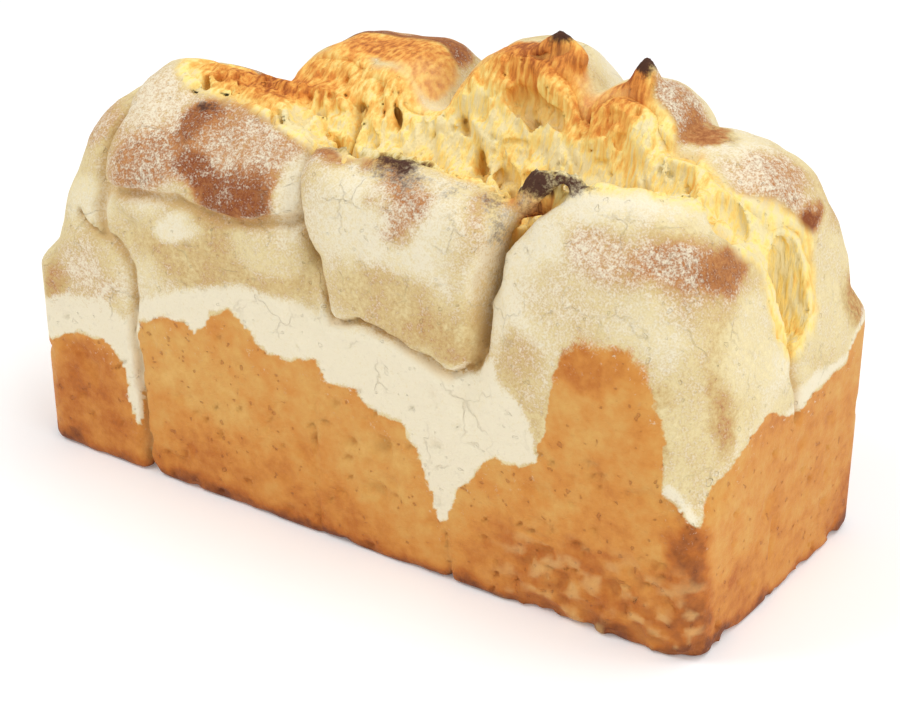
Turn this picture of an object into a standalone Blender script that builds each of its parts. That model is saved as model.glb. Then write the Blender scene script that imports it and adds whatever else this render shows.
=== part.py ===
"""A tin loaf of bread: one solid of risen dough pieces, flat on the sides where the tin held them.

Sizes are in millimetres and turned to metres by MM. The origin is the middle of the base, +X runs along the
loaf towards the end whose corner rose highest, and -Y is the long side with the creased front.
"""

import math

import bmesh
import bpy
from mathutils import Euler, Matrix, Vector

MM = 0.001

# Driving sizes of the loaf where the tin held it.
LENGTH = 255.0
WIDTH = 108.0
RIM = 74.0
TAPER = 1.2
CORNER = 9.0
BASE_ROUNDING = 4.0
TOP_ROOM = 180.0
BASE_SPARE = 0.8
UNDER_BASE_DEPTH = 20.0

# Fineness of the solid.
JOIN_VOXEL = 2.4
FINAL_VOXEL = 2.0
LOBE_RINGS = 40
CORNER_STEPS = 5
TRIANGLES = 8000
VOXEL_TRIANGLES = 96000

CRUST = (0.66, 0.40, 0.17)
CRUST_ROUGHNESS = 0.75

# Each dough piece is a rounded block: centre, half sizes, how square it is along each axis (2 is an
# ellipsoid) and its turn in degrees.
DOUGH = {
    "low_left": ((-106.5, 0, 4), (24.5, 62, 70), (8, 8, 3), (0, 0, 0)),
    "low_middle": ((-16, 0, 0), (67, 62, 72), (12, 8, 3.5), (0, 0, 0)),
    "low_right": ((84.5, -8, 0), (46.5, 53, 56), (12, 8, 3), (0, 0, 0)),
    "low_back": ((84.5, 14, 0), (46.5, 46, 84), (12, 8, 4), (0, 0, 0)),
    "left_dome": ((-98, -4, 30), (32, 56, 91), (3, 3.2, 2.1), (0, 0, 0)),
    "front_band": ((-50, -4, 74), (40, 52, 40), (6, 4, 2.8), (0, 0, 0)),
    "front_slab": ((-59, -26, 109), (43.5, 30, 18), (5.5, 2.6, 2.7), (38, -1, 2)),
    "tongue": ((18, -16, 86), (36.5, 40, 46), (4.5, 3, 2.6), (0, 6, 0)),
    "tongue_top": ((13, -18, 109), (40, 35, 21), (6, 3, 3), (0, 3, 0)),
    "right_dome": ((81, -11, 30), (48.5, 48, 107), (3, 3, 2.05), (0, 0, 0)),
    "back_dome": ((91, 20, 40), (38, 37, 96), (3, 3, 2.1), (0, 0, 0)),
    "core": ((-8, 2, 60), (112, 53, 54), (3.2, 3.6, 2.8), (0, 0, 0)),
    "back_left": ((-84, 20, 54), (42, 36, 56), (2.8, 3, 2.4), (0, 0, 0)),
    "back_slab": ((-28, 18, 80), (33, 37, 61), (4, 2.8, 2.8), (0, -6, 0)),
    "tall_peak": ((25, 18, 84), (33, 37, 69), (2.5, 2.8, 2.1), (0, 0, 0)),
    "low_peak": ((62, 19, 80), (27, 36, 67), (2.5, 2.8, 2.1), (0, 0, 0)),
    "tall_tip": ((33.5, 16, 152), (9, 5, 8.5), (1.3, 2, 1.3), (0, 0, 0)),
    "low_tip": ((63.5, 17, 145), (6.5, 5, 12), (1.2, 2, 1.2), (0, 0, 0)),
    "horn": ((62, -30, 126), (12, 7, 12), (1.8, 2, 1.8), (0, 30, 0)),
}

# The same kind of block, cut away: where the top burst open along the loaf and over the slab, where the burst
# runs over and down the right-hand end, and the creases between dough pieces on the long sides.
CUTS = {
    "burst": ((24, -9, 154), (80, 17, 42), (3, 2.2, 2.2), (-22, 3, 3)),
    "slab_shelf": ((-58, -12, 139), (28, 14, 7.5), (4, 3, 2), (0, 3, 3)),
    "over_the_end": ((110, -6, 127), (13, 4.5, 7), (2, 2, 2), (0, 40, 35)),
    "burst_end": ((122, 6, 102), (14, 8.5, 18), (2.2, 2, 2.2), (0, 15, 0)),
}
CREASES_X = (-83, 39)
CREASE_HALF = (3, 6, 66)
CREASE_POWER = (1.5, 2, 3)
CREASE_HEIGHT = 24


def clear_scene():
    for old in list(bpy.data.objects):
        bpy.data.objects.remove(old)


def new_object(name, form):
    """Puts a bmesh into the scene as an object."""
    mesh = bpy.data.meshes.new(name)
    form.to_mesh(mesh)
    form.free()
    made = bpy.data.objects.new(name, mesh)
    bpy.context.scene.collection.objects.link(made)
    return made


def hide_helper(helper):
    helper.hide_render = True
    helper.display_type = "WIRE"
    return helper


def add_rounded_block(form, centre, half, power, turn_degrees):
    """Adds a closed rounded block: a sphere whose coordinates are each raised to 2 / power."""
    made = bmesh.ops.create_uvsphere(form, u_segments=2 * LOBE_RINGS, v_segments=LOBE_RINGS, radius=1.0)
    turn = Euler([math.radians(angle) for angle in turn_degrees]).to_matrix()
    for point in made["verts"]:
        squared = [
            math.copysign(abs(part) ** (2 / power[axis]), part) * half[axis]
            for axis, part in enumerate(point.co)
        ]
        point.co = (turn @ Vector(squared) + Vector(centre)) * MM


def rounded_blocks(name, blocks):
    """All the blocks of one table as one object."""
    form = bmesh.new()
    for centre, half, power, turn_degrees in blocks.values():
        add_rounded_block(form, centre, half, power, turn_degrees)
    return new_object(name, form)


def creases():
    """A thin upright cutter for each crease, on the front and on the back."""
    cutters = {}
    for side, outward in (("front", -1), ("back", 1)):
        for number, along in enumerate(CREASES_X, 1):
            centre = (along, outward * WIDTH / 2, CREASE_HEIGHT)
            cutters[f"crease_{side}_{number}"] = (centre, CREASE_HALF, CREASE_POWER, (0, 0, 0))
    return cutters


def rounded_outline(inward):
    """Points round the tin's outline, moved inward."""
    points = []
    for quarter, (side_x, side_y) in enumerate(((1, 1), (-1, 1), (-1, -1), (1, -1))):
        for step in range(CORNER_STEPS + 1):
            angle = math.pi / 2 * (quarter + step / CORNER_STEPS)
            reach = CORNER - inward
            across = side_x * (LENGTH / 2 - CORNER) + reach * math.cos(angle)
            along = side_y * (WIDTH / 2 - CORNER) + reach * math.sin(angle)
            points.append((across, along))
    return points


def tin_levels():
    """(height, inward) of each ring: round the base edge, up the taper to the rim, then straight up.

    It starts a little low, so that the base is cut flat afterwards.
    """
    levels = []
    for step in range(CORNER_STEPS + 1):
        angle = math.pi / 2 * step / CORNER_STEPS
        rounding = BASE_ROUNDING * (1 - math.sin(angle))
        levels.append((BASE_ROUNDING * (1 - math.cos(angle)) - BASE_SPARE, TAPER + rounding))
    return levels + [(RIM, 0.0), (TOP_ROOM, 0.0)]


def tin_space():
    """The room that the dough could fill: the tapered tin up to its rim, and straight up above it."""
    form = bmesh.new()
    rings = []
    for height, inward in tin_levels():
        rings.append([form.verts.new(Vector((*point, height)) * MM) for point in rounded_outline(inward)])
    form.faces.new(list(reversed(rings[0])))
    form.faces.new(rings[-1])
    for lower, upper in zip(rings, rings[1:]):
        for point in range(len(lower)):
            after = (point + 1) % len(lower)
            form.faces.new((lower[point], lower[after], upper[after], upper[point]))
    return hide_helper(new_object("tin_space", form))


def under_base():
    """The space under the flat base, up to z = 0."""
    form = bmesh.new()
    sizes = Matrix.Diagonal((2 * LENGTH * MM, 2 * LENGTH * MM, UNDER_BASE_DEPTH * MM, 1))
    middle = Matrix.Translation((0, 0, -UNDER_BASE_DEPTH / 2 * MM))
    bmesh.ops.create_cube(form, size=1.0, matrix=middle @ sizes)
    return hide_helper(new_object("under_base", form))


def crust():
    material = bpy.data.materials.new("crust")
    material.use_nodes = True
    shader = material.node_tree.nodes["Principled BSDF"]
    shader.inputs["Base Color"].default_value = (*CRUST, 1)
    shader.inputs["Roughness"].default_value = CRUST_ROUGHNESS
    shader.inputs["Metallic"].default_value = 0.0
    return material


def add_remesh(loaf, name, voxel):
    remesh = loaf.modifiers.new(name, "REMESH")
    remesh.mode = "VOXEL"
    remesh.voxel_size = voxel * MM


def add_smooth(loaf, name, turns):
    smooth = loaf.modifiers.new(name, "SMOOTH")
    smooth.factor = 0.5
    smooth.iterations = turns


def add_boolean(loaf, name, operation, other):
    boolean = loaf.modifiers.new(name, "BOOLEAN")
    boolean.operation = operation
    boolean.object = other


def loaf_of_bread():
    loaf = rounded_blocks("loaf", DOUGH)
    add_remesh(loaf, "join_the_dough", JOIN_VOXEL)
    add_boolean(loaf, "press_on_the_tin", "INTERSECT", tin_space())
    for name, block in (CUTS | creases()).items():
        add_boolean(loaf, name, "DIFFERENCE", hide_helper(rounded_blocks(name, {name: block})))
    add_remesh(loaf, "even_out", FINAL_VOXEL)
    add_smooth(loaf, "soften", 4)
    thin_out = loaf.modifiers.new("thin_out", "DECIMATE")
    thin_out.ratio = TRIANGLES / VOXEL_TRIANGLES
    add_boolean(loaf, "flat_base", "DIFFERENCE", under_base())
    loaf.data.materials.append(crust())
    loaf.data.shade_smooth()


clear_scene()
loaf_of_bread()
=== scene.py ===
import math

import bpy
import numpy as np
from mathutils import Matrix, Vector


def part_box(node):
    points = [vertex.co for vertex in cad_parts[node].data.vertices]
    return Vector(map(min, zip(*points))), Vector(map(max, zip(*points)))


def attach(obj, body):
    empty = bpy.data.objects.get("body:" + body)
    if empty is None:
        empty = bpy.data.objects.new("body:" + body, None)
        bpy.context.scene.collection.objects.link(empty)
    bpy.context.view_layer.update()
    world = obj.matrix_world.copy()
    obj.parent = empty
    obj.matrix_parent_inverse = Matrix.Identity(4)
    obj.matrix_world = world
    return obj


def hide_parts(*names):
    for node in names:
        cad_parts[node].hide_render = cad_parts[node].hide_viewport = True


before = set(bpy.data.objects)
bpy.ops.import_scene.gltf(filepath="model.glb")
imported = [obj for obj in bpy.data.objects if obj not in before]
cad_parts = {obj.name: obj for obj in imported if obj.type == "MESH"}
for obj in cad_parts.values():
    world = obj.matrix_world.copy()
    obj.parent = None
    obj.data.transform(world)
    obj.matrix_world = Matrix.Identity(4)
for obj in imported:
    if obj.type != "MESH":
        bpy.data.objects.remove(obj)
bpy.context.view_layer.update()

# The loaf's form is worked out in millimetres, in the frame's axes: +X along the loaf towards the end with
# the tall corner dome, -Y towards the creased front, Z up from the base.
MM = 0.001
NODE_LOW, NODE_HIGH = (np.array(corner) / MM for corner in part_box("loaf"))
HALF_LENGTH = float(NODE_HIGH[0] - NODE_LOW[0]) / 2
HALF_WIDTH = float(NODE_HIGH[1] - NODE_LOW[1]) / 2
RIM = 74.0
TAPER = 1.2
CORNER = 9.0
BASE_ROUNDING = 4.0

# How widely the forms run into each other: dough pieces, the pressed walls, parts of the burst, and its lip.
DOUGH_BLEND = 3.0
TIN_BLEND = 2.0
BURST_BLEND = 4.0
LIP_BLEND = 1.2

CRUST_CELL = 1.40
CRUMB_CELL = 0.88

# Dough pieces, as rounded blocks: centre, half sizes, how square each axis is (2 is an ellipsoid) and turn
# in degrees.
DOUGH = {
    "low_left": ((-106.5, 0, 4), (24.5, 62, 70), (8, 8, 3), (0, 0, 0)),
    "low_middle": ((-16, 0, 0), (67, 62, 72), (12, 8, 3.5), (0, 0, 0)),
    "low_right": ((84.5, -8, 0), (46.5, 53, 56), (12, 8, 3), (0, 0, 0)),
    "low_back": ((84.5, 14, 0), (46.5, 46, 84), (12, 8, 4), (0, 0, 0)),
    "left_dome": ((-98, -4, 30), (32, 56, 91), (3, 3.2, 2.1), (0, 0, 0)),
    "front_band": ((-50, -4, 74), (40, 52, 40), (6, 4, 2.8), (0, 0, 0)),
    "front_slab": ((-59, -26, 109), (43.5, 30, 18), (5.5, 2.6, 2.7), (38, -1, 2)),
    "tongue": ((18, -16, 86), (36.5, 40, 46), (4.5, 3, 2.6), (0, 6, 0)),
    "tongue_top": ((13, -18, 109), (40, 35, 21), (6, 3, 3), (0, 3, 0)),
    "right_dome": ((81, -11, 30), (48.5, 48, 107), (3, 3, 2.05), (0, 0, 0)),
    "back_dome": ((91, 20, 40), (38, 37, 96), (3, 3, 2.1), (0, 0, 0)),
    "core": ((-8, 2, 60), (112, 53, 54), (3.2, 3.6, 2.8), (0, 0, 0)),
    "back_left": ((-84, 20, 54), (42, 36, 56), (2.8, 3, 2.4), (0, 0, 0)),
    "back_slab": ((-28, 18, 80), (33, 37, 61), (4, 2.8, 2.8), (0, -6, 0)),
    "tall_peak": ((25, 18, 84), (33, 37, 69), (2.5, 2.8, 2.1), (0, 0, 0)),
    "low_peak": ((62, 19, 80), (27, 36, 67), (2.5, 2.8, 2.1), (0, 0, 0)),
    "tall_tip": ((33.5, 16, 152), (9, 5, 8.5), (1.3, 2, 1.3), (0, 0, 0)),
    "low_tip": ((63.5, 17, 145), (6.5, 5, 12), (1.2, 2, 1.2), (0, 0, 0)),
    "horn": ((62, -30, 126), (12, 7, 12), (1.8, 2, 1.8), (0, 30, 0)),
}

BURST = {
    "along_the_top": ((24, -9, 154), (80, 17, 42), (3, 2.2, 2.2), (-22, 3, 3)),
    "slab_shelf": ((-58, -12, 139), (28, 14, 7.5), (4, 3, 2), (0, 3, 3)),
    "over_the_end": ((110, -6, 127), (13, 4.5, 7), (2, 2, 2), (0, 40, 35)),
    "down_the_end": ((122, 6, 102), (13, 8, 17), (2.2, 2, 2.2), (0, 15, 0)),
}

# Cracks and folds on the front, seen square on: (X, Z) along the line, half width, depth, and how far back
# in Y they reach.
FRONT_CREASES = {
    "left_foot": (((-80, 0), (-83, 20), (-84, 45), (-84, 62), (-85, 76), (-91, 83), (-98, 83), (-108, 86)),
                  1.6, 4.5, -20),
    "left_shoulder": (((-94, 83), (-98, 92), (-98, 97), (-102, 105), (-100, 118)), 2.0, 4.0, -20),
    "under_slab": (((-97, 99), (-74, 102), (-54, 101), (-28, 103), (-20, 106)), 2.2, 5.0, -25),
    "slab_notch": (((-76, 130), (-70, 133), (-66, 129)), 1.6, 5.0, -20),
    "tongue_left": (((-27, 132), (-23, 123), (-20, 112), (-17, 101), (-13, 92), (-8, 85), (-5, 79)),
                    1.4, 7.0, -5),
    "tongue_lip": (((-5, 79), (8, 80), (20, 79), (30, 75), (40, 72), (46, 76), (48, 82)), 1.3, 5.0, -25),
    "tongue_right": (((48, 82), (48, 100), (49, 108), (51, 116), (57, 123), (66, 133)), 1.9, 8.0, -10),
    "right_foot": (((39, 0), (38, 10), (38, 18)), 1.2, 2.0, -25),
    "middle_foot": (((-11, 2), (-12, 24), (-12, 38), (-10, 62)), 1.0, 1.0, -25),
    "ledge_fold": (((-78, 70), (-60, 75), (-40, 81), (-20, 81), (-6, 78)), 1.3, 1.2, -25),
    "flour_fold": (((-4, 76), (6, 70), (20, 62), (36, 57)), 1.1, 1.0, -25),
    "flour_crack": (((30, 74), (34, 66), (37, 56), (36, 44)), 1.0, 1.0, -25),
    "curl": (((101, 54), (108, 57), (116, 53), (122, 47)), 1.2, 1.6, -35),
}

# The crease between the two domes, seen square on to the right-hand end: (Y, Z).
END_CREASE = ((6, 60), (2, 74), (3, 84), (5, 92), (8, 98), (10, 104))
END_CREASE_HALF_WIDTH = 1.6
END_CREASE_DEPTH = 5.0

# Where the golden, tin-baked wall ends on each side, in order along it: (X or Y, Z). Above it the dough is
# pale.
FRONT_LEDGE = (
    (-128, 36), (-117, 40), (-110, 45), (-97, 45), (-90, 38), (-86, 18), (-83.5, 18), (-82.5, 57), (-72, 60),
    (-63, 62), (-58, 58), (-51, 69), (-44, 72), (-38, 67), (-30, 61), (-19, 61), (-11, 65), (-6, 57), (3, 58),
    (12, 52), (21, 53), (27, 46), (31, 36), (34, 27), (36.5, 20), (39, 22), (42, 34), (48, 42), (53, 47),
    (58, 50), (64, 50), (70, 53), (71, 58), (74, 66), (78, 92), (82, 98), (100, 98), (106, 93), (111, 82),
    (113, 72), (113.5, 56), (120, 50), (128, 43),
)
FRONT_FLOUR_TOP = (
    (-128, 50), (-111, 57), (-97, 60), (-88, 54), (-83, 62), (-62, 72), (-40, 80), (-8, 79), (20, 77),
    (40, 74), (52, 80), (62, 72), (70, 60), (72, 40), (104, 40), (112, 58), (116, 58), (120, 54), (128, 47),
)
RIGHT_LEDGE = (
    (-54, 44), (-47, 50), (-40, 58), (-33, 61), (-25, 68), (-13, 69), (0, 62), (6, 60), (15, 64), (35, 65),
    (45, 74), (54, 76),
)
RIGHT_FLOUR_TOP = (
    (-54, 44), (-47, 50), (-40, 57), (-33, 60), (-25, 63), (-13, 65), (0, 63), (6, 68), (15, 69), (35, 66),
    (45, 76), (54, 76),
)
LEFT_LEDGE = ((-54, 36), (-40, 44), (-20, 58), (0, 55), (24, 62), (40, 52), (54, 60))
BACK_LEDGE = (
    (-128, 60), (-100, 64), (-83, 50), (-60, 70), (-30, 64), (0, 72), (30, 58), (39, 46), (60, 66), (100, 74),
    (128, 76),
)
LEDGE_FLOUR_WIDTH = 5.0

# How brown the tin-baked crust is, laid on in this order: centre, radii, browning.
TIN_PATCHES = (
    ((-105, -54, 24), (20, 9, 20), 0.70),
    ((-60, -54, 46), (28, 9, 16), 0.30),
    ((-20, -54, 50), (28, 9, 14), 0.40),
    ((14, -54, 33), (20, 9, 16), 0.36),
    ((70, -54, 46), (26, 9, 16), 0.44),
    ((90, -54, 78), (18, 9, 22), 0.40),
    ((84, -54, 90), (14, 9, 7), 0.66),
    ((84, -54, 18), (42, 9, 17), 0.66),
    ((60, 54, 30), (40, 9, 24), 0.62),
    ((-70, 54, 34), (36, 9, 20), 0.34),
    ((-128, 0, 24), (8, 40, 22), 0.60),
    ((127, -30, 44), (8, 20, 18), 0.44),
    ((127, 20, 30), (8, 40, 34), 0.50),
    ((127, 52, 50), (8, 8, 40), 0.42),
    ((127, -54, 18), (11, 11, 42), 0.84),
    ((127, 48, 8), (12, 12, 18), 0.74),
)

# Browning and flour above the ledge, laid on in this order: centre, radii, browning (0 pale to 1 deep)
# and flour.
PATCHES = (
    ((-50, -54, 88), (40, 14, 15), 0.46, 0.22),
    ((-30, -52, 96), (14, 10, 8), 0.36, 0.45),
    ((-66, -53, 94), (10, 8, 5), 0.25, 0.78),
    ((-106, -54, 68), (16, 12, 13), 0.60, 0.62),
    ((-118, -54, 58), (7, 10, 12), 0.60, 0.25),
    ((-106, -50, 92), (14, 10, 9), 0.22, 0.60),
    ((-56, -38, 118), (46, 24, 19), 0.78, 0.44),
    ((-47, -48, 112), (26, 10, 8), 1.00, 0.26),
    ((-80, -48, 112), (13, 12, 10), 0.84, 0.46),
    ((-68, -36, 124), (8, 10, 12), 0.94, 0.26),
    ((-42, -38, 122), (15, 12, 8), 0.78, 0.56),
    ((-25, -43, 112), (8, 12, 14), 0.36, 0.72),
    ((-90, -30, 124), (14, 16, 12), 0.60, 0.66),
    # The tongue: its flour is laid thinner as painted shade, so this patch is partly painted shade.
    ((16, -46, 112), (34, 18, 26), 0.30, 0.74),
    ((18, -54, 93), (24, 10, 12), 0.46, 0.28),
    ((34, -52, 84), (12, 10, 8), 0.50, 0.22),
    ((18, -44, 118), (14, 10, 13), 0.90, 0.44),
    ((44, -42, 116), (9, 9, 12), 0.76, 0.50),
    ((-4, -36, 127), (18, 9, 6), 0.80, 0.14),
    ((42, -44, 112), (9, 9, 8), 0.74, 0.58),
    ((-14, -26, 124), (10, 10, 5), 0.98, 0.20),
    ((56, -36, 124), (9, 10, 9), 0.62, 0.30),
    ((62, -44, 106), (17, 18, 28), 0.26, 0.80),
    ((76, -50, 108), (18, 14, 16), 0.42, 0.52),
    ((62, -54, 84), (12, 10, 12), 0.50, 0.40),
    ((82, -24, 131), (26, 16, 12), 0.20, 0.88),
    ((88, -42, 122), (17, 14, 10), 0.70, 0.60),
    ((106, -34, 120), (15, 15, 10), 0.80, 0.46),
    ((114, -24, 116), (9, 10, 7), 0.84, 0.24),
    ((104, -48, 102), (12, 10, 10), 0.34, 0.62),
    ((119, -48, 76), (11, 12, 26), 0.36, 0.36),
    ((110, -54, 78), (4, 8, 20), 0.50, 0.10),
    ((125, -38, 82), (6, 7, 18), 0.62, 0.18),
    ((124, -22, 92), (8, 14, 18), 0.22, 0.40),
    ((124, 28, 92), (14, 26, 22), 0.28, 0.40),
    ((128, 46, 84), (8, 12, 12), 0.60, 0.10),
    ((108, 14, 127), (15, 15, 9), 0.84, 0.58),
    ((119, 18, 117), (10, 9, 5), 1.00, 0.10),
    ((72, 18, 142), (12, 14, 14), 0.84, 0.56),
    ((84, 19, 138), (10, 9, 7), 0.78, 0.00),
    ((46, 34, 138), (22, 12, 16), 0.25, 0.85),
    ((-30, 26, 138), (32, 16, 8), 0.92, 0.20),
    ((-114, -36, 114), (12, 14, 9), 0.62, 0.45),
    ((-92, 34, 108), (28, 26, 16), 0.76, 0.42),
    ((30, 48, 112), (26, 14, 16), 0.56, 0.55),
    ((100, 42, 112), (24, 18, 14), 0.74, 0.46),
    ((-34, 50, 104), (22, 12, 14), 0.42, 0.70),
    ((-124, 0, 96), (8, 30, 14), 0.52, 0.50),
)

# How golden the torn inside is, pale straw at 0 to brown at 1: centre, radii, browning, and whether the crust
# beside it is torn away too.
TORN_PATCHES = (
    ((-34, 8, 132), (44, 26, 10), 0.42, False),
    ((-30, 16, 140), (34, 14, 7), 0.78, True),
    ((-58, -12, 133), (30, 16, 7), 0.84, True),
    ((24, 12, 146), (30, 12, 12), 0.66, True),
    ((28, 14, 153), (18, 10, 8), 0.92, True),
    ((58, 12, 142), (13, 12, 12), 0.62, True),
    ((60, 15, 150), (10, 8, 8), 0.95, True),
    ((84, 16, 136), (10, 9, 7), 0.62, False),
    ((82, -4, 128), (12, 10, 10), 0.10, False),
    ((112, 4, 116), (16, 16, 20), 0.06, False),
    ((-6, 12, 136), (18, 14, 10), 0.66, True),
    ((56, 9, 138), (17, 12, 14), 0.66, True),
    # The hollow under the horn: brown that is partly the crust's own and partly painted shade.
    ((56, -31, 124), (9, 8, 9), 0.95, False),
)

# Burnt tips and lips: centre, radii, how black. The one under the horn is painted shade, not burning.
CHAR = (
    ((34, 16, 160), (6, 5, 5), 1.0),
    ((64, 17, 156), (5, 5, 7), 1.0),
    # Painted shade in the hollow under the horn.
    ((56, -31, 124), (9, 8, 9), 0.30),
    ((11, -38, 128), (16, 8, 5), 0.78),
    ((16, -42, 122), (9, 7, 6), 0.52),
    ((-8, -34, 128), (9, 6, 4), 0.50),
    ((30, -40, 124), (7, 6, 5), 0.46),
    ((54, -33, 133), (15, 7, 6), 0.86),
    ((68, -32, 136), (8, 6, 4), 0.74),
    ((48, -40, 122), (6, 7, 9), 0.40),
    ((-71, -34, 131), (7, 5, 3.5), 0.85),
)

# Larger holes and dents in the tin-baked front: centre, radii. The first two are pale inside.
PALE_HOLLOWS = (
    ((14, -54, 41), (4.5, 3.4, 4.8)),
    ((12, -54, 24), (5.4, 3.0, 4.2)),
)
FRONT_HOLES = PALE_HOLLOWS + (
    ((-12, -54, 33), (1.6, 2.0, 7.0)),
    ((-17, -53, 81), (1.8, 1.4, 2.4)),
)
PORES = 150
PORE_SEED = 11

# The crust ends a little outside the burst, and the torn crumb fills it from just under the crust.
CRUST_LIP = 2.6
CRUMB_UNDER = 0.9
CRUMB_SET_BACK = 0.6
CRUMB_THICKNESS = 12.0

# The boxes that the two grids fill: the node's box with this much to spare, and one round the burst.
BOX_SPARE = 3.0
CRUMB_LOW = (-92.0, -50.0, 72.0)
CRUMB_HIGH = (130.0, 44.0, 162.0)

# The grid is worked out in slabs this many cells thick, with full detail within NEAR of the plain surface.
SLAB = 16
NEAR = 14.0

# The random values that all smooth noise is drawn from. The last number of a noise call only shifts it, so
# that no two kinds of noise are alike.
LATTICE = np.random.default_rng(5).uniform(-1, 1, (64, 64, 64)).astype(np.float32)


def noise(points, size, shift=0.0):
    """Smooth noise from -1 to 1 whose lumps are about `size` across, on an (..., 3) array of points."""
    place = points / np.float32(size) + np.float32(17.3 + shift)
    whole = np.floor(place)
    part = place - whole
    part = part * part * (3 - 2 * part)
    first = whole.astype(np.int32) & 63
    second = (first + 1) & 63
    total = np.float32(0)
    for corner in range(8):
        picks = [second if corner >> axis & 1 else first for axis in range(3)]
        weight = np.float32(1)
        for axis in range(3):
            weight = weight * (part[..., axis] if corner >> axis & 1 else 1 - part[..., axis])
        total = total + weight * LATTICE[picks[0][..., 0], picks[1][..., 1], picks[2][..., 2]]
    return total


def fractal(points, size, octaves, shift=0.0):
    """Smooth noise with finer and weaker noise laid over it."""
    return sum(noise(points, size / 2**turn, shift + 9.1 * turn) / 2**turn for turn in range(octaves))


def smooth_step(start, end, value):
    """0 at the start, 1 at the end and a smooth rise between; the start may be the higher number."""
    part = np.clip((value - start) / (end - start), 0, 1)
    return part * part * (3 - 2 * part)


def soft_min(first, second, blend):
    """The smaller of two distances, rounded where they are nearly equal."""
    part = np.clip(0.5 + 0.5 * (second - first) / blend, 0, 1)
    return second + (first - second) * part - blend * part * (1 - part)


def soft_max(first, second, blend):
    return -soft_min(-first, -second, blend)


def turned(degrees):
    """Rotation matrix for turns about X, then Y, then Z."""
    (cx, cy, cz), (sx, sy, sz) = ([f(math.radians(d)) for d in degrees] for f in (math.cos, math.sin))
    about_x = np.array(((1, 0, 0), (0, cx, -sx), (0, sx, cx)))
    about_y = np.array(((cy, 0, sy), (0, 1, 0), (-sy, 0, cy)))
    about_z = np.array(((cz, -sz, 0), (sz, cz, 0), (0, 0, 1)))
    return (about_z @ about_y @ about_x).astype(np.float32)


def block_distance(points, centre, half, power, degrees):
    """About how far each point is outside a rounded block, negative inside it."""
    local = points - np.array(centre, np.float32)
    if any(degrees):
        local = local @ turned(degrees)
    total = np.float32(0)
    slope = np.float32(1e-6)
    for axis in range(3):
        reach = np.abs(local[..., axis]) / np.float32(half[axis])
        steep = reach ** np.float32(power[axis] - 1)
        total = total + steep * reach
        slope = slope + (np.float32(power[axis] / half[axis]) * steep) ** 2
    return (total - 1) / np.sqrt(slope)


def joined_blocks(points, blocks, blend):
    """How far outside the blocks of one table each point is, with the blocks run together."""
    distance = None
    for block in blocks.values():
        one = block_distance(points, *block)
        distance = one if distance is None else soft_min(distance, one, blend)
    return distance


def wall_distance(points):
    """How far outside the tin's upright walls each point is."""
    taper = TAPER * (1 - np.clip(points[..., 2] / RIM, 0, 1))
    across = np.abs(points[..., 0]) - (HALF_LENGTH - taper - CORNER)
    along = np.abs(points[..., 1]) - (HALF_WIDTH - taper - CORNER)
    outside = np.hypot(np.maximum(across, 0), np.maximum(along, 0))
    return outside + np.minimum(np.maximum(across, along), 0) - CORNER


def dough_distance(points):
    """The risen dough before it burst, pressed on the tin's walls and flat below."""
    tin = soft_max(wall_distance(points), -points[..., 2], BASE_ROUNDING)
    return soft_max(joined_blocks(points, DOUGH, DOUGH_BLEND), tin, TIN_BLEND)


def burst_distance(points):
    """How far outside the burst each point is, negative where the dough tore open."""
    return joined_blocks(points, BURST, BURST_BLEND)


def line_distance(points, line, axes):
    """Distance to a broken line drawn in two of the axes."""
    nearest = None
    flat = points[..., axes]
    for start, end in zip(line, line[1:]):
        start, end = np.array(start, np.float32), np.array(end, np.float32)
        run = end - start
        part = np.clip(((flat - start) @ run) / (run @ run), 0, 1)
        away = np.linalg.norm(flat - start - part[..., None] * run, axis=-1)
        nearest = away if nearest is None else np.minimum(nearest, away)
    return nearest


def wobble(points, size, amount, shift=0.0):
    """The points moved about by smooth noise, so that a line or an edge drawn through them is uneven."""
    moves = [noise(points, size, shift + 31.0 * axis) for axis in range(3)]
    return points + np.float32(amount) * np.stack(moves, -1)


def crease_depth(points):
    """How much the front's creases and the one down the right-hand end take away."""
    moved = wobble(wobble(points, 9.0, 1.6), 3.0, 0.6, 50.0)
    depth = np.zeros(points.shape[:-1], np.float32)
    for line, half_width, deepest, back_to in FRONT_CREASES.values():
        near = line_distance(moved, line, [0, 2])
        side = smooth_step(back_to, back_to - 8, points[..., 1])
        depth = np.maximum(depth, deepest * np.exp(-((near / half_width) ** 2)) * side)
    near = line_distance(moved, END_CREASE, [1, 2])
    side = smooth_step(96, 104, points[..., 0])
    return np.maximum(depth, END_CREASE_DEPTH * np.exp(-((near / END_CREASE_HALF_WIDTH) ** 2)) * side)


def hole_depth(points):
    """The larger holes and the pores that gas bubbles left against the tin."""
    depth = np.zeros(points.shape[:-1], np.float32)
    moved = wobble(points, 4.0, 0.7, 80.0)
    for centre, radii in FRONT_HOLES + tuple(pores()):
        reach = np.linalg.norm((moved - np.array(centre, np.float32)) / np.array(radii, np.float32), axis=-1)
        side = radii[1] if abs(centre[1]) > HALF_WIDTH - 3 else radii[0]
        depth = np.maximum(depth, side * smooth_step(1.15, 0.35, reach))
    return depth


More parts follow.
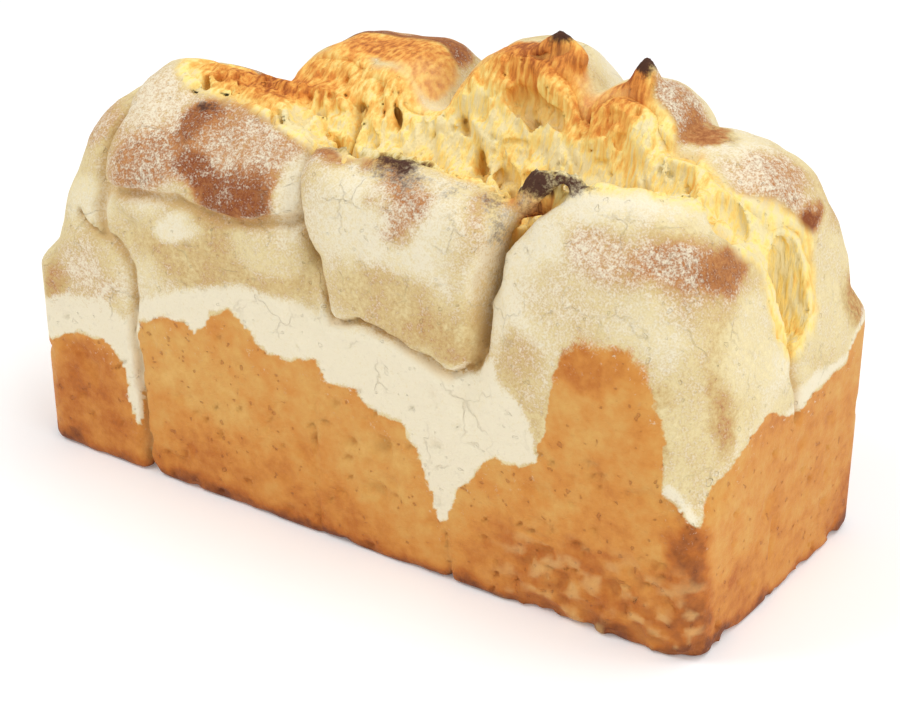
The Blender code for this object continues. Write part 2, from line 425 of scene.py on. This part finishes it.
def pores():
    """Scattered pores on the four walls, with more of them low down near the right-hand end of the front."""
    draw = np.random.default_rng(PORE_SEED)
    for number in range(PORES):
        size = 0.9 + 1.3 * draw.random() ** 3
        height = 3 + 58 * draw.random()
        wall = draw.random()
        along = draw.uniform(-120, 120)
        across = draw.uniform(-46, 46)
        long = draw.uniform(0.8, 1.9)
        if number % 4 == 0:
            along = draw.uniform(60, 118)
            height = draw.uniform(3, 34)
            wall = 0.1
        if wall < 0.45:
            yield (along, -HALF_WIDTH + 0.6, height), (size * long, 1.4, size)
        elif wall < 0.75:
            yield (along, HALF_WIDTH - 0.6, height), (size * long, 1.4, size)
        elif wall < 0.9:
            yield (HALF_LENGTH - 0.6, across, height), (1.4, size * long, size)
        else:
            yield (-HALF_LENGTH + 0.6, across, height), (1.4, size * long, size)


def wall_ledge(points):
    """(height of the ledge, height where its flour ends) on whichever wall each point is nearest to."""
    x, y = points[..., 0], points[..., 1]
    away = np.stack([y + HALF_WIDTH, HALF_WIDTH - y, x + HALF_LENGTH, HALF_LENGTH - x], -1)
    wall = np.argmin(away, -1)
    edges = []
    for line, along in ((FRONT_LEDGE, x), (BACK_LEDGE, x), (LEFT_LEDGE, y), (RIGHT_LEDGE, y)):
        places, heights = zip(*line)
        edges.append(np.interp(along, places, heights))
    ledge = np.choose(wall, edges)
    width = LEDGE_FLOUR_WIDTH * (1 + 0.9 * noise(points, 14.0, 3.0))
    flour_top = ledge + width
    for number, line, along in ((0, FRONT_FLOUR_TOP, x), (3, RIGHT_FLOUR_TOP, y)):
        places, heights = zip(*line)
        flour_top = np.where(wall == number, np.interp(along, places, heights), flour_top)
    return ledge, flour_top


def baked_on_tin(points):
    """1 where the golden crust baked against the tin, 0 where the dough stood free."""
    moved = wobble(wobble(points, 7.0, 1.5, 7.0), 2.2, 0.8, 9.0)
    ledge, _ = wall_ledge(moved)
    along = points[..., 0]
    lobe = smooth_step(72, 80, along) * smooth_step(119, 113, along) * smooth_step(-30, -40, points[..., 1])
    contact = smooth_step(-4.6, -2.8, np.maximum(wall_distance(points), -points[..., 2]) + 12 * lobe)
    soft = 1 + 6 * lobe
    return contact * smooth_step(soft, -soft, moved[..., 2] - ledge)


def pitted_crust(points):
    """Where the front is pitted, low down by the right-hand end, and how high each crag of it stands."""
    along, across, height = (points[..., axis] for axis in range(3))
    where = smooth_step(46, 72, along) * smooth_step(38, 20, height) * smooth_step(-44, -50, across)
    squeezed = points * np.array((0.8, 1.0, 1.2), np.float32)
    return where, noise(squeezed, 3.6, 12.0) + 0.4 * noise(points, 1.9, 14.0)


def strewn(points, patches, field, start=1.25, end=0.55):
    """The field with each patch's value laid over it, softly inside its radii."""
    for centre, radii, value in patches:
        reach = np.linalg.norm((points - np.array(centre, np.float32)) / np.array(radii, np.float32), axis=-1)
        field = field + (value - field) * smooth_step(start, end, reach)
    return field


def burnt(points):
    """How black each place is."""
    black = np.zeros(points.shape[:-1], np.float32)
    for centre, radii, value in CHAR:
        reach = np.linalg.norm((points - np.array(centre, np.float32)) / np.array(radii, np.float32), axis=-1)
        black = np.maximum(black, value * smooth_step(1.3, 0.3, reach))
    return black


def golden(points):
    """How golden the torn inside is at each place."""
    plain = 0.16 + 0.22 * fractal(points, 12.0, 3, 75.0)
    patches = [patch[:3] for patch in TORN_PATCHES]
    return np.clip(strewn(wobble(points, 9.0, 2.5, 77.0), patches, plain, 1.4, 0.2), 0, 1)


def relief(points):
    """How far the crust stands out (+) or lies back (-) from the plain form."""
    height = points[..., 2]
    above = smooth_step(50, 85, height)
    lumps = 1.5 * fractal(points, 26.0, 2) * (0.15 + 0.85 * above)
    dimples = 0.55 * fractal(points, 7.0, 2, 5.0) * (0.25 + 0.75 * above)
    ledge, flour_top = wall_ledge(wobble(points, 8.0, 1.5, 7.0))
    flour_cake = 0.5 * smooth_step(-0.8, 0.8, height - ledge) * smooth_step(6, -2, height - flour_top)
    free = smooth_step(0.0, 9.0, height - ledge)
    pitted, crag = pitted_crust(points)
    crags = 1.8 * pitted * (np.minimum(crag, 0.25) - 0.35)
    wrinkle_place = points * np.array((0.35, 1.0, 1.3), np.float32)
    wrinkles = 0.6 * smooth_step(50, 10, height) * (1 - 2 * np.abs(noise(wrinkle_place, 4.6, 15.0)))
    dents = 1.3 * smooth_step(62, 44, height) * smooth_step(0.42, 0.72, noise(points, 5.0, 16.0))
    dragged = points.copy()
    dragged[..., 2] += 0.55 * dragged[..., 0]
    dragged = dragged * np.array((0.4, 1.0, 1.0), np.float32)
    streaks = 0.9 * (1 - 2 * np.abs(noise(dragged, 5.0, 18.0))) * flour_cake
    uneven_foot = 0.9 * smooth_step(9, 1, height) * noise(points, 11.0, 19.0)
    plain_parts = lumps * (0.25 + 0.75 * free) + dimples * (0.4 + 0.6 * free)
    return plain_parts + flour_cake + streaks + crags + wrinkles + uneven_foot - dents


def crust_distance(points, plain):
    """The loaf's crust with all its relief; the burst is cut a little deeper than the crumb that fills it."""
    detailed = plain - relief(points) + crease_depth(points)
    detailed = np.maximum(detailed, wall_distance(points) + 0.15)
    ragged = CRUST_LIP + 2.2 * fractal(points, 8.0, 3, 23.0) + 5.0 * smooth_step(-2.5, -6.0, plain)
    return np.maximum(soft_max(detailed, ragged - burst_distance(points), LIP_BLEND), -points[..., 2])


def strand_relief(points):
    """Torn crumb: strands pulled up the back wall of the burst, lumps on its floor, and deep holes."""
    leaning = points.copy()
    leaning[..., 0] += 0.45 * (points[..., 2] - 120) + 0.25 * points[..., 1]
    moved = wobble(leaning, 8.0, 1.8, 33.0)
    ridges = 1 - 2.0 * np.abs(noise(moved * np.array((1.0, 0.34, 0.16), np.float32), 4.4, 35.0))
    fine = 1 - 2.0 * np.abs(noise(moved * np.array((1.0, 0.5, 0.22), np.float32), 2.0, 37.0))
    lumps = noise(points, 10.0, 39.0) + 0.3 * noise(points, 4.0, 47.0)
    floor = smooth_step(126, 116, points[..., 2])
    hole_place = moved * np.array((1.0, 0.8, 0.5), np.float32)
    holes = smooth_step(0.34, 0.62, noise(hole_place, 5.0, 41.0))
    small_holes = smooth_step(0.42, 0.62, noise(points, 2.8, 45.0))
    solid = 2.4 * lumps + (1.5 - 0.7 * floor) * ridges + 0.75 * fine
    along = smooth_step(100, 84, points[..., 0])
    return solid - (0.8 + 3.7 * along) * holes - (0.4 + 1.4 * along) * small_holes


def crumb_distance(points, plain):
    """The torn inside: a shell under the burst, just inside the crust."""
    hollow = burst_distance(points)
    under_crust = plain + CRUMB_UNDER - 0.7 * noise(points, 5.0, 43.0) + 0.8 * smooth_step(1.0, 4.0, hollow)
    under_crust = under_crust + crease_depth(points)
    inner = hollow - CRUMB_THICKNESS
    return np.maximum(np.maximum(under_crust, inner), -(hollow - CRUMB_SET_BACK) - strand_relief(points))


def outward(points):
    """The direction out of the dough at each point."""
    here = dough_distance(points)
    slopes = [dough_distance(points + np.float32(0.5) * side) - here for side in np.eye(3, dtype=np.float32)]
    direction = np.stack(slopes, -1)
    return direction / np.linalg.norm(direction, axis=-1, keepdims=True)


def sampled(shape, detailed, low, high, cell):
    """Signed distances on a grid: the plain form everywhere, the detailed one near its surface."""
    counts = np.ceil((np.array(high) - np.array(low)) / cell).astype(int) + 1
    steps = [np.arange(count, dtype=np.float32) for count in counts]
    lines = [np.float32(low[axis]) + np.float32(cell) * steps[axis] for axis in range(3)]
    field = np.empty(counts, np.float32)
    for start in range(0, counts[0], SLAB):
        points = np.stack(np.meshgrid(lines[0][start:start + SLAB], lines[1], lines[2], indexing="ij"), -1)
        plain = shape(points)
        near = np.abs(plain) < NEAR
        near_points = points[near]
        plain[near] = detailed(near_points, dough_distance(near_points))
        field[start:start + SLAB] = plain
    return field


def surface_of(field, low, cell):
    """Closed quad mesh of the zero level of a sampled field, one corner for each cell it passes through."""
    inside = field < 0
    total = np.zeros((*field.shape, 3), np.float32)
    hits = np.zeros(field.shape, np.int32)
    number = np.arange(field.size).reshape(field.shape)
    quads = []
    for axis in range(3):
        next_axis, last_axis = (axis + 1) % 3, (axis + 2) % 3
        here = [slice(None)] * 3
        there = [slice(None)] * 3
        here[axis], there[axis] = slice(0, -1), slice(1, None)
        here, there = tuple(here), tuple(there)
        crossed = inside[here] != inside[there]
        place = np.argwhere(crossed)
        before, after = field[here][crossed], field[there][crossed]
        point = place.astype(np.float32)
        point[:, axis] += before / (before - after)
        around = []
        for step_next, step_last in ((0, 0), (1, 0), (1, 1), (0, 1)):
            cell_place = place.copy()
            cell_place[:, next_axis] -= step_next
            cell_place[:, last_axis] -= step_last
            around.append(number[tuple(cell_place.T)])
            np.add.at(total, tuple(cell_place.T), point)
            np.add.at(hits, tuple(cell_place.T), 1)
        quad = np.stack(around, 1)
        quad[before < 0] = quad[before < 0][:, ::-1]
        quads.append(quad)
    used = hits > 0
    corners = total[used] / hits[used][:, None] * cell + np.array(low, np.float32)
    order = np.full(field.shape, -1)
    order[used] = np.arange(used.sum())
    return corners, order.reshape(-1)[np.concatenate(quads)]


def largest_body(corners, quads):
    """Leaves out any small loose bits, so that the piece is one body."""
    label = np.arange(len(corners))
    ends = np.concatenate([quads[:, [0, 1]], quads[:, [1, 2]], quads[:, [2, 3]], quads[:, [3, 0]]])
    while True:
        lowest = label.copy()
        np.minimum.at(lowest, ends[:, 0], label[ends[:, 1]])
        np.minimum.at(lowest, ends[:, 1], label[ends[:, 0]])
        lowest = lowest[lowest]
        if (lowest == label).all():
            break
        label = lowest
    names, counts = np.unique(label, return_counts=True)
    keep = label == names[counts.argmax()]
    order = np.cumsum(keep) - 1
    return corners[keep], order[quads[keep[quads].all(1)]]


def mesh_piece(name, corners, quads, fields, material):
    """A visible piece whose corners carry the fields that its material reads."""
    mesh = bpy.data.meshes.new(name)
    mesh.from_pydata((corners * MM).tolist(), [], quads.tolist())
    for field_name, values in fields.items():
        stored = mesh.attributes.new(field_name, "FLOAT", "POINT")
        stored.data.foreach_set("value", np.ascontiguousarray(values, np.float32))
    mesh.shade_smooth()
    mesh.materials.append(material)
    piece = bpy.data.objects.new(name, mesh)
    bpy.context.scene.collection.objects.link(piece)
    return piece


def painted(points):
    """Fields that the crust's material reads, each from 0 to 1."""
    moved = wobble(wobble(points, 12.0, 3.5, 61.0), 4.0, 1.6, 63.0)
    height = points[..., 2]
    above = smooth_step(60, 130, height)
    tone = 0.34 + 0.22 * fractal(points, 30.0, 3, 65.0) * (0.4 + 0.6 * above)
    flour = 0.44 + 0.30 * fractal(points, 24.0, 3, 67.0)
    tone = strewn(moved, [(centre, radii, value) for centre, radii, value, _ in PATCHES], tone)
    flour = strewn(moved, [(centre, radii, value) for centre, radii, _, value in PATCHES], flour)
    bake = 0.44 + 0.12 * fractal(points, 26.0, 3, 81.0) + 0.16 * smooth_step(34, 8, height)
    bake = strewn(moved, TIN_PATCHES, bake) + 0.4 * smooth_step(7, 0, height + 3 * noise(points, 8.0, 83.0))
    baked = baked_on_tin(points)
    ledge, flour_top = wall_ledge(wobble(wobble(points, 7.0, 1.5, 7.0), 2.2, 0.8, 9.0))
    near_wall = smooth_step(-7.0, -2.5, wall_distance(points))
    cake = near_wall * smooth_step(-0.8, 1.0, height - ledge) * smooth_step(5.0, -1.0, height - flour_top)
    pitted, crag = pitted_crust(points)
    lip = burst_distance(points) - CRUST_LIP + 1.5 * noise(points, 6.0, 69.0)
    bare = strewn(moved, [patch[:3] for patch in TORN_PATCHES if patch[3]], 0.0)
    torn = np.maximum(smooth_step(3.4, 0.4, lip), smooth_step(0.45, 0.75, bare))
    # Painted shade in the creases, and at half strength in the holes.
    crease_shade_amount = smooth_step(0.5, 3.5, crease_depth(points)) + 0.5 * smooth_step(0.3, 1.2, hole_depth(points))
    hollows = strewn(points, [(centre, radii, 1.0) for centre, radii in PALE_HOLLOWS], 0.0, 1.1, 0.4)
    fields = {
        "baked": baked,
        "bake": bake,
        "tone": tone,
        "flour": np.maximum(flour, cake) * (1 - baked) * (1 - torn),
        "char": burnt(moved),
        "torn": torn,
        "golden": golden(points),
        "crease_shade": crease_shade_amount,
        "stray": smooth_step(16, 0, ledge - height),
        # Painted shade in the low places of the pitted crust.
        "pit_shade": pitted * smooth_step(-0.1, -0.7, crag),
        # A painted highlight on the crags' tops, and the pale hollows' own cream colour.
        "crag": np.maximum(pitted * smooth_step(0.0, 0.5, crag), hollows),
    }
    return {name: np.clip(values, 0, 1) for name, values in fields.items()}


def crumb_fields(points):
    """Fields that the crumb's material reads: how golden, how deep in a hole (for painted shade), how black.
    """
    deep = smooth_step(0.6, 4.2, burst_distance(points) - CRUMB_SET_BACK)
    return {"golden": golden(points), "deep": deep, "char": burnt(wobble(points, 5.0, 1.6, 63.0))}


def linear(red, green, blue):
    """A colour given as 0 to 255 screen values, as the linear colour that a shader takes."""
    def one(value):
        value /= 255
        return value / 12.92 if value <= 0.04045 else ((value + 0.055) / 1.055) ** 2.4
    return one(red), one(green), one(blue), 1.0


class Nodes:
    """Short calls that add nodes to a material and link them."""

    def __init__(self, name):
        self.material = bpy.data.materials.new(name)
        self.material.use_nodes = True
        self.tree = self.material.node_tree
        self.shader = self.tree.nodes["Principled BSDF"]
        self.place = self.add("ShaderNodeTexCoord").outputs["Object"]

    def add(self, kind, **settings):
        node = self.tree.nodes.new(kind)
        for name, value in settings.items():
            setattr(node, name, value)
        return node

    def put(self, value, socket):
        if isinstance(value, bpy.types.NodeSocket):
            self.tree.links.new(value, socket)
        else:
            socket.default_value = value

    def field(self, name):
        return self.add("ShaderNodeAttribute", attribute_name=name).outputs["Fac"]

    def maths(self, operation, first, second=0.0, clamp=False):
        node = self.add("ShaderNodeMath", operation=operation, use_clamp=clamp)
        self.put(first, node.inputs[0])
        self.put(second, node.inputs[1])
        return node.outputs[0]

    def stretch(self, value, low, high, to_low=0.0, to_high=1.0):
        node = self.add("ShaderNodeMapRange", interpolation_type="SMOOTHSTEP")
        node.inputs["From Min"].default_value = low
        node.inputs["From Max"].default_value = high
        node.inputs["To Min"].default_value = to_low
        node.inputs["To Max"].default_value = to_high
        self.put(value, node.inputs["Value"])
        return node.outputs[0]

    def mix(self, factor, first, second):
        node = self.add("ShaderNodeMix", data_type="RGBA")
        self.put(factor, node.inputs[0])
        self.put(first, node.inputs[6])
        self.put(second, node.inputs[7])
        return node.outputs[2]

    def noise(self, size_mm, detail=2.0, stretched=None, turn=(0.0, 0.0, 0.0), roughness=0.55):
        node = self.add("ShaderNodeTexNoise")
        node.inputs["Scale"].default_value = 1 / (size_mm * MM)
        node.inputs["Detail"].default_value = detail
        node.inputs["Roughness"].default_value = roughness
        place = self.place
        if stretched:
            mapping = self.add("ShaderNodeMapping")
            mapping.inputs["Scale"].default_value = stretched
            mapping.inputs["Rotation"].default_value = turn
            self.tree.links.new(self.place, mapping.inputs["Vector"])
            place = mapping.outputs[0]
        self.tree.links.new(place, node.inputs["Vector"])
        return node.outputs["Fac"]

    def strands(self):
        """Streaks along the leaning strands of the torn crumb."""
        return self.noise(1.5, 3.0, stretched=(1.0, 0.5, 0.13), turn=(0.0, -0.42, 0.0))

    def cracks(self, size_mm):
        """Thin wandering lines, 1 on a line and 0 away from it."""
        wander = self.add("ShaderNodeVectorMath", operation="SCALE")
        offset = self.add("ShaderNodeTexNoise")
        offset.inputs["Scale"].default_value = 3 / (size_mm * MM)
        self.tree.links.new(self.place, offset.inputs["Vector"])
        self.tree.links.new(offset.outputs["Color"], wander.inputs[0])
        wander.inputs["Scale"].default_value = 0.4 * size_mm * MM
        moved = self.add("ShaderNodeVectorMath", operation="ADD")
        self.tree.links.new(self.place, moved.inputs[0])
        self.tree.links.new(wander.outputs[0], moved.inputs[1])
        cells = self.add("ShaderNodeTexVoronoi", feature="DISTANCE_TO_EDGE")
        cells.inputs["Scale"].default_value = 1 / (size_mm * MM)
        self.tree.links.new(moved.outputs[0], cells.inputs["Vector"])
        return self.stretch(cells.outputs["Distance"], 0.035, 0.0)

    def spread(self, value, noise, amount):
        """The value made uneven by a noise, by up to the amount each way."""
        return self.maths("ADD", value, self.stretch(noise, 0.25, 0.75, -amount, amount), clamp=True)

    def ramp(self, value, stops):
        node = self.add("ShaderNodeValToRGB")
        for _ in range(len(stops) - 2):
            node.color_ramp.elements.new(0.5)
        for element, (position, colour) in zip(node.color_ramp.elements, stops):
            element.position = position
            element.color = colour
        self.put(value, node.inputs[0])
        return node.outputs[0]

    def bump(self, height, depth_mm, before=None):
        node = self.add("ShaderNodeBump")
        node.inputs["Distance"].default_value = depth_mm * MM
        self.put(height, node.inputs["Height"])
        if before is not None:
            self.put(before, node.inputs["Normal"])
        return node.outputs[0]

    def finish(self, colour, roughness, normal, specular):
        self.put(colour, self.shader.inputs["Base Color"])
        self.put(roughness, self.shader.inputs["Roughness"])
        self.put(normal, self.shader.inputs["Normal"])
        self.shader.inputs["Specular IOR Level"].default_value = specular
        return self.material


# Colours by browning: the free crust, the crust baked on the tin, and the torn inside.
TONES = (
    (0.0, linear(240, 226, 182)),
    (0.30, linear(222, 202, 150)),
    (0.50, linear(204, 172, 114)),
    (0.72, linear(184, 124, 72)),
    (1.0, linear(134, 70, 34)),
)
TIN_TONES = (
    (0.0, linear(230, 190, 114)),
    (0.30, linear(216, 162, 84)),
    (0.52, linear(210, 140, 60)),
    (0.75, linear(186, 106, 34)),
    (1.0, linear(120, 60, 20)),
)
TORN_TONES = (
    (0.0, linear(238, 222, 170)),
    (0.22, linear(253, 226, 140)),
    (0.48, linear(244, 188, 96)),
    (0.74, linear(222, 142, 64)),
    (1.0, linear(160, 86, 40)),
)
FLOUR = linear(238, 228, 201)
BURNT = linear(76, 46, 32)
# Painted shade, laid in the creases and holes.
CREASE_SHADE = linear(204, 162, 98)
# Painted shade, laid in pits and pores.
PIT_SHADE = linear(170, 100, 42)
# Painted highlight on the crags' tops, and the own cream colour of the pale hollows.
RIDGE_HIGHLIGHT_AND_PALE_HOLLOW = linear(228, 190, 124)
# Painted shade deep in the crumb's holes.
CRUMB_HOLE_SHADE = linear(228, 184, 104)
CRACK = linear(150, 128, 92)


def crust_material():
    """Tin-baked and free crust, under flour, cracks, torn edges and char; painted shade in folds, holes and
    pits.
    """
    nodes = Nodes("crust")
    baked, flour = nodes.field("baked"), nodes.field("flour")
    blotch = nodes.noise(9.0, 4.0)
    speck = nodes.noise(1.6, 3.0, roughness=0.7)
    grain = nodes.noise(0.6, 1.0)
    crack = nodes.maths("MULTIPLY", nodes.cracks(13.0), nodes.stretch(nodes.noise(14.0, 2.0), 0.50, 0.66))

    tone = nodes.spread(nodes.field("tone"), blotch, 0.10)
    free_crust = nodes.ramp(nodes.spread(tone, speck, 0.14), TONES)
    bake = nodes.spread(nodes.field("bake"), blotch, 0.12)
    tin_crust = nodes.ramp(nodes.spread(bake, nodes.noise(2.6, 2.0), 0.05), TIN_TONES)
    # Painted shade in the pits.
    tin_crust = nodes.mix(nodes.maths("MULTIPLY", nodes.field("pit_shade"), 0.55), tin_crust, PIT_SHADE)
    # Painted shade in small pores, which the bump below also sinks.
    pores = nodes.stretch(nodes.noise(2.6, 1.0), 0.70, 0.76, 0.0, 0.45)
    tin_crust = nodes.mix(pores, tin_crust, PIT_SHADE)
    # Painted highlight on the crags' tops, and the pale hollows' own colour.
    tin_crust = nodes.mix(nodes.maths("MULTIPLY", nodes.field("crag"), 0.45), tin_crust, RIDGE_HIGHLIGHT_AND_PALE_HOLLOW)
    baked_edge = nodes.stretch(nodes.spread(baked, speck, 0.16), 0.30, 0.70)
    colour = nodes.mix(baked_edge, free_crust, tin_crust)

    dust = nodes.spread(nodes.spread(nodes.spread(flour, blotch, 0.12), speck, 0.24), grain, 0.16)
    floured = nodes.maths("MULTIPLY", nodes.stretch(dust, 0.22, 0.92), nodes.stretch(flour, 0.05, 0.25))
    colour = nodes.mix(nodes.maths("MULTIPLY", floured, 0.95), colour, FLOUR)
    stray = nodes.maths("MULTIPLY", nodes.stretch(speck, 0.60, 0.72), nodes.field("stray"))
    stray = nodes.maths("MULTIPLY", stray, nodes.stretch(blotch, 0.40, 0.60, 0.0, 0.8))
    colour = nodes.mix(nodes.maths("MULTIPLY", stray, baked), colour, FLOUR)
    free_crack = nodes.maths("MULTIPLY", crack, nodes.stretch(baked, 0.0, 0.5, 0.22, 0.0))
    colour = nodes.mix(free_crack, colour, CRACK)

    # Painted shade in the creases and holes, weaker under flour.
    crease_shade = nodes.maths("MULTIPLY", nodes.field("crease_shade"), nodes.stretch(floured, 0.0, 1.0, 0.6, 0.3))
    colour = nodes.mix(crease_shade, colour, CREASE_SHADE)
    torn_tone = nodes.ramp(nodes.spread(nodes.field("golden"), nodes.strands(), 0.22), TORN_TONES)
    colour = nodes.mix(nodes.field("torn"), colour, torn_tone)
    char = nodes.spread(nodes.field("char"), speck, 0.22)
    colour = nodes.mix(nodes.stretch(char, 0.10, 0.80), colour, BURNT)

    normal = nodes.bump(nodes.maths("ADD", speck, nodes.maths("MULTIPLY", grain, 0.5)), 0.30)
    normal = nodes.bump(nodes.maths("MULTIPLY", free_crack, -1.0), 0.8, normal)
    normal = nodes.bump(nodes.maths("MULTIPLY", pores, -1.0), 0.7, normal)
    roughness = nodes.stretch(baked, 0.0, 1.0, 0.88, 0.60)
    return nodes.finish(colour, roughness, normal, 0.32)


def crumb_material():
    """Torn crumb with pulled strands, charred at the tips, with painted shade deep in its holes."""
    nodes = Nodes("torn_crumb")
    strands = nodes.strands()
    colour = nodes.ramp(nodes.spread(nodes.field("golden"), strands, 0.26), TORN_TONES)
    # Painted shade deep in the holes.
    colour = nodes.mix(nodes.maths("MULTIPLY", nodes.field("deep"), 0.5), colour, CRUMB_HOLE_SHADE)
    char = nodes.spread(nodes.field("char"), strands, 0.2)
    colour = nodes.mix(nodes.stretch(char, 0.15, 0.85), colour, BURNT)
    fibre = nodes.noise(0.9, 3.0, stretched=(1.0, 0.6, 0.3), turn=(0.0, -0.42, 0.0))
    height = nodes.maths("ADD", strands, nodes.maths("MULTIPLY", fibre, 0.7))
    return nodes.finish(colour, 0.80, nodes.bump(height, 0.9), 0.16)


FLOOR_REACH = 3.0
FLOOR_GLOW = 0.11
WORLD_LIGHT = 0.50
LAMP_AIM = (0, 0, 0.07)

# Name, place, size and watts.
LAMPS = (
    ("key", (-0.60, -0.50, 0.95), 0.5, 4.8),
    ("fill", (1.0, -0.40, 0.55), 0.8, 4.0),
    ("top", (0.35, 0.35, 1.15), 0.8, 6.0),
)


def make_crust():
    low = NODE_LOW - BOX_SPARE
    high = NODE_HIGH + BOX_SPARE

    def plain_crust(points):
        return np.maximum(dough_distance(points), CRUST_LIP - burst_distance(points))

    field = sampled(plain_crust, crust_distance, low, high, CRUST_CELL)
    corners, quads = largest_body(*surface_of(field, low, CRUST_CELL))
    corners = corners - hole_depth(corners)[:, None] * outward(corners)
    return mesh_piece("loaf_crust", corners, quads, painted(corners), crust_material())


def make_crumb():
    low = np.array(CRUMB_LOW)
    high = np.array(CRUMB_HIGH)

    def plain_crumb(points):
        hollow = burst_distance(points)
        return np.maximum(np.maximum(dough_distance(points), hollow - CRUMB_THICKNESS), -hollow)

    field = sampled(plain_crumb, crumb_distance, low, high, CRUMB_CELL)
    corners, quads = largest_body(*surface_of(field, low, CRUMB_CELL))
    return mesh_piece("torn_crumb", corners, quads, crumb_fields(corners), crumb_material())


def make_floor():
    """A plain pale floor, which is not part of the object."""
    mesh = bpy.data.meshes.new("floor")
    corners = [(FLOOR_REACH * x, FLOOR_REACH * y, 0) for x, y in ((-1, -1), (1, -1), (1, 1), (-1, 1))]
    mesh.from_pydata(corners, [], [(0, 1, 2, 3)])
    nodes = Nodes("floor")
    nodes.shader.inputs["Base Color"].default_value = linear(250, 250, 250)
    nodes.shader.inputs["Roughness"].default_value = 0.9
    nodes.shader.inputs["Emission Color"].default_value = (1, 1, 1, 1)
    nodes.shader.inputs["Emission Strength"].default_value = FLOOR_GLOW
    mesh.materials.append(nodes.material)
    floor = bpy.data.objects.new("floor", mesh)
    bpy.context.scene.collection.objects.link(floor)


def add_lamp(name, place, size, watts):
    """A white square lamp turned to the middle of the loaf."""
    lamp = bpy.data.lights.new(name, "AREA")
    lamp.energy = watts
    lamp.size = size
    lamp.color = (1, 1, 1)
    holder = bpy.data.objects.new(name, lamp)
    holder.location = place
    holder.rotation_euler = (Vector(LAMP_AIM) - holder.location).to_track_quat("-Z", "Y").to_euler()
    bpy.context.scene.collection.objects.link(holder)


def light_studio():
    world = bpy.data.worlds.new("studio")
    world.use_nodes = True
    background = world.node_tree.nodes["Background"]
    background.inputs["Color"].default_value = (1, 1, 1, 1)
    background.inputs["Strength"].default_value = WORLD_LIGHT
    bpy.context.scene.world = world
    for name, place, size, watts in LAMPS:
        add_lamp(name, place, size, watts)
    bpy.context.scene.view_settings.view_transform = "Standard"


# The camera: round from the front, up from level, how far from the point it looks at, and its lens.
CAMERA_ROUND = 34.15
CAMERA_UP = 27.68
CAMERA_AWAY = 0.9146
CAMERA_AIM = (0.0041, -0.0006, 0.0484)
CAMERA_LENS = 113.2


def add_camera():
    camera = bpy.data.cameras.new("camera")
    camera.lens = CAMERA_LENS
    camera.sensor_width = 36
    camera.clip_start = 0.01
    holder = bpy.data.objects.new("camera", camera)
    around, up = math.radians(CAMERA_ROUND), math.radians(CAMERA_UP)
    back = Vector((math.sin(around) * math.cos(up), -math.cos(around) * math.cos(up), math.sin(up)))
    holder.location = Vector(CAMERA_AIM) + CAMERA_AWAY * back
    holder.rotation_euler = (-back).to_track_quat("-Z", "Y").to_euler()
    bpy.context.scene.collection.objects.link(holder)
    bpy.context.scene.camera = holder


add_camera()
light_studio()
make_floor()
crust = make_crust()
crumb = make_crumb()
for piece in (crust, crumb):
    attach(piece, "root")
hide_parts("loaf")
